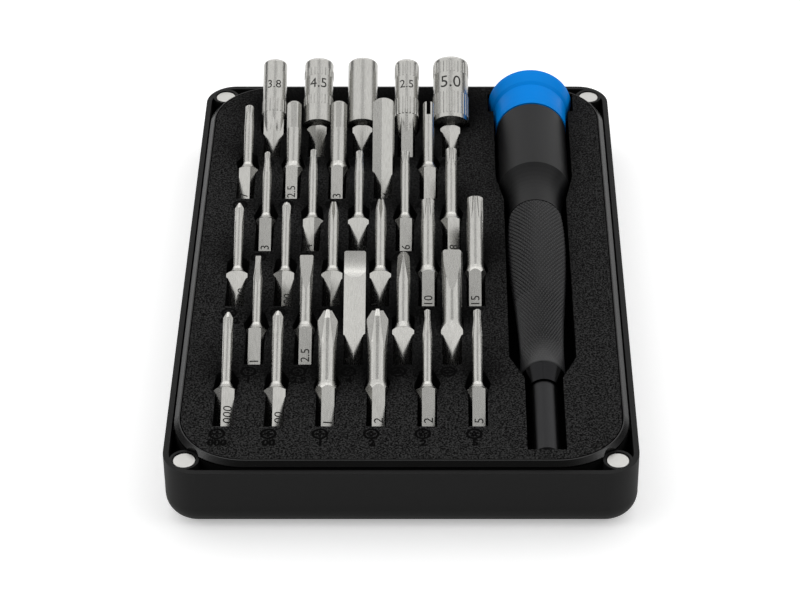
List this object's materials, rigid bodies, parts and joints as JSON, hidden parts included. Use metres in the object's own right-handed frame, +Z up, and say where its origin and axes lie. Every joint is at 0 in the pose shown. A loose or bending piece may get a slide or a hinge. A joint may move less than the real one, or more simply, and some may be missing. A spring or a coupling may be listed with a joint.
{
  "type": "precision screwdriver set",
  "caption": "Open case base with a foam insert that holds slim hexagon-shank driver bits, sockets and a slim driver with a turning cap.",
  "frame": {"origin": "middle of the flat underside of the case", "axes": "+X to the right, +Y to the rear along the case's length, +Z up"},
  "size_m": [0.083, 0.125, 0.0237],
  "materials": {
    "case_plastic": "satin",
    "foam": "matte",
    "magnet": "satin",
    "bit_steel": "satin",
    "handle": "matte",
    "shaft_steel": "satin",
    "cap_plastic": "satin"
  },
  "bodies": {
    "case": {"case_base": "case_plastic", "foam_insert": "foam", "magnet_front_left": "magnet", "magnet_front_right": "magnet", "magnet_rear_left": "magnet", "magnet_rear_right": "magnet"},
    "driver": {"handle_core": "handle", "grip_sleeve": "handle", "nose_collar": "handle", "drive_shaft": "shaft_steel", "socket_magnet": "magnet", "cap_pivot_pin": "bit_steel"},
    "cap": {"swivel_cap": "cap_plastic"},
    "socket_ribbed_small": {"socket_ribbed_small": "bit_steel"},
    "socket_ribbed_large": {"socket_ribbed_large": "bit_steel"},
    "pickup_head": {"pickup_head": "bit_steel", "pickup_magnet": "magnet"},
    "nut_socket_small": {"nut_socket_small": "bit_steel"},
    "nut_socket_large": {"nut_socket_large": "bit_steel"},
    "bit_star_7": {"bit_star_7": "bit_steel"},
    "bit_hex_2_5": {"bit_hex_2_5": "bit_steel"},
    "bit_hex_3": {"bit_hex_3": "bit_steel"},
    "bit_hex_4": {"bit_hex_4": "bit_steel"},
    "bit_prong": {"bit_prong": "bit_steel"},
    "bit_star_3": {"bit_star_3": "bit_steel"},
    "bit_star_4": {"bit_star_4": "bit_steel"},
    "bit_star_5": {"bit_star_5": "bit_steel"},
    "bit_star_6": {"bit_star_6": "bit_steel"},
    "bit_star_8": {"bit_star_8": "bit_steel"},
    "bit_point_000": {"bit_point_000": "bit_steel"},
    "bit_point_00": {"bit_point_00": "bit_steel"},
    "bit_wing_0": {"bit_wing_0": "bit_steel"},
    "bit_wing_1": {"bit_wing_1": "bit_steel"},
    "bit_star_10": {"bit_star_10": "bit_steel"},
    "bit_star_15": {"bit_star_15": "bit_steel"},
    "bit_flat_1": {"bit_flat_1": "bit_steel"},
    "bit_flat_2_5": {"bit_flat_2_5": "bit_steel"},
    "bit_flat_4": {"bit_flat_4": "bit_steel"},
    "bit_triangle": {"bit_triangle": "bit_steel"},
    "bit_oval": {"bit_oval": "bit_steel"},
    "bit_cross_000": {"bit_cross_000": "bit_steel"},
    "bit_cross_00": {"bit_cross_00": "bit_steel"},
    "bit_cross_1": {"bit_cross_1": "bit_steel"},
    "bit_cross_2": {"bit_cross_2": "bit_steel"},
    "bit_lobe_2": {"bit_lobe_2": "bit_steel"},
    "bit_lobe_5": {"bit_lobe_5": "bit_steel"}
  },
  "joints": [
    {"name": "driver_lift", "type": "slide", "parent": "case", "child": "driver", "axis": [0, 0, 1], "range_m": [0, 0.025]},
    {"name": "cap_spin", "type": "hinge", "parent": "driver", "child": "cap", "pos_m": [0.0254, 0.05, 0.0113], "axis": [0, 1, 0], "continuous": true},
    {"name": "socket_ribbed_small_pull", "type": "slide", "parent": "case", "child": "socket_ribbed_small", "axis": [0, 0.866, 0.5], "range_m": [0, 0.0182]},
    {"name": "socket_ribbed_large_pull", "type": "slide", "parent": "case", "child": "socket_ribbed_large", "axis": [0, 0.866, 0.5], "range_m": [0, 0.0182]},
    {"name": "pickup_head_pull", "type": "slide", "parent": "case", "child": "pickup_head", "axis": [0, 0.866, 0.5], "range_m": [0, 0.0182]},
    {"name": "nut_socket_small_pull", "type": "slide", "parent": "case", "child": "nut_socket_small", "axis": [0, 0.866, 0.5], "range_m": [0, 0.0182]},
    {"name": "nut_socket_large_pull", "type": "slide", "parent": "case", "child": "nut_socket_large", "axis": [0, 0.866, 0.5], "range_m": [0, 0.0182]},
    {"name": "bit_star_7_pull", "type": "slide", "parent": "case", "child": "bit_star_7", "axis": [0, 0.866, 0.5], "range_m": [0, 0.0182]},
    {"name": "bit_hex_2_5_pull", "type": "slide", "parent": "case", "child": "bit_hex_2_5", "axis": [0, 0.866, 0.5], "range_m": [0, 0.0182]},
    {"name": "bit_hex_3_pull", "type": "slide", "parent": "case", "child": "bit_hex_3", "axis": [0, 0.866, 0.5], "range_m": [0, 0.0182]},
    {"name": "bit_hex_4_pull", "type": "slide", "parent": "case", "child": "bit_hex_4", "axis": [0, 0.866, 0.5], "range_m": [0, 0.0182]},
    {"name": "bit_prong_pull", "type": "slide", "parent": "case", "child": "bit_prong", "axis": [0, 0.866, 0.5], "range_m": [0, 0.0182]},
    {"name": "bit_star_3_pull", "type": "slide", "parent": "case", "child": "bit_star_3", "axis": [0, 0.866, 0.5], "range_m": [0, 0.0182]},
    {"name": "bit_star_4_pull", "type": "slide", "parent": "case", "child": "bit_star_4", "axis": [0, 0.866, 0.5], "range_m": [0, 0.0182]},
    {"name": "bit_star_5_pull", "type": "slide", "parent": "case", "child": "bit_star_5", "axis": [0, 0.866, 0.5], "range_m": [0, 0.0182]},
    {"name": "bit_star_6_pull", "type": "slide", "parent": "case", "child": "bit_star_6", "axis": [0, 0.866, 0.5], "range_m": [0, 0.0182]},
    {"name": "bit_star_8_pull", "type": "slide", "parent": "case", "child": "bit_star_8", "axis": [0, 0.866, 0.5], "range_m": [0, 0.0182]},
    {"name": "bit_point_000_pull", "type": "slide", "parent": "case", "child": "bit_point_000", "axis": [0, 0.866, 0.5], "range_m": [0, 0.0182]},
    {"name": "bit_point_00_pull", "type": "slide", "parent": "case", "child": "bit_point_00", "axis": [0, 0.866, 0.5], "range_m": [0, 0.0182]},
    {"name": "bit_wing_0_pull", "type": "slide", "parent": "case", "child": "bit_wing_0", "axis": [0, 0.866, 0.5], "range_m": [0, 0.0182]},
    {"name": "bit_wing_1_pull", "type": "slide", "parent": "case", "child": "bit_wing_1", "axis": [0, 0.866, 0.5], "range_m": [0, 0.0182]},
    {"name": "bit_star_10_pull", "type": "slide", "parent": "case", "child": "bit_star_10", "axis": [0, 0.866, 0.5], "range_m": [0, 0.0182]},
    {"name": "bit_star_15_pull", "type": "slide", "parent": "case", "child": "bit_star_15", "axis": [0, 0.866, 0.5], "range_m": [0, 0.0182]},
    {"name": "bit_flat_1_pull", "type": "slide", "parent": "case", "child": "bit_flat_1", "axis": [0, 0.866, 0.5], "range_m": [0, 0.0182]},
    {"name": "bit_flat_2_5_pull", "type": "slide", "parent": "case", "child": "bit_flat_2_5", "axis": [0, 0.866, 0.5], "range_m": [0, 0.0182]},
    {"name": "bit_flat_4_pull", "type": "slide", "parent": "case", "child": "bit_flat_4", "axis": [0, 0.866, 0.5], "range_m": [0, 0.0182]},
    {"name": "bit_triangle_pull", "type": "slide", "parent": "case", "child": "bit_triangle", "axis": [0, 0.866, 0.5], "range_m": [0, 0.0182]},
    {"name": "bit_oval_pull", "type": "slide", "parent": "case", "child": "bit_oval", "axis": [0, 0.866, 0.5], "range_m": [0, 0.0182]},
    {"name": "bit_cross_000_pull", "type": "slide", "parent": "case", "child": "bit_cross_000", "axis": [0, 0.866, 0.5], "range_m": [0, 0.0182]},
    {"name": "bit_cross_00_pull", "type": "slide", "parent": "case", "child": "bit_cross_00", "axis": [0, 0.866, 0.5], "range_m": [0, 0.0182]},
    {"name": "bit_cross_1_pull", "type": "slide", "parent": "case", "child": "bit_cross_1", "axis": [0, 0.866, 0.5], "range_m": [0, 0.0182]},
    {"name": "bit_cross_2_pull", "type": "slide", "parent": "case", "child": "bit_cross_2", "axis": [0, 0.866, 0.5], "range_m": [0, 0.0182]},
    {"name": "bit_lobe_2_pull", "type": "slide", "parent": "case", "child": "bit_lobe_2", "axis": [0, 0.866, 0.5], "range_m": [0, 0.0182]},
    {"name": "bit_lobe_5_pull", "type": "slide", "parent": "case", "child": "bit_lobe_5", "axis": [0, 0.866, 0.5], "range_m": [0, 0.0182]}
  ]
}
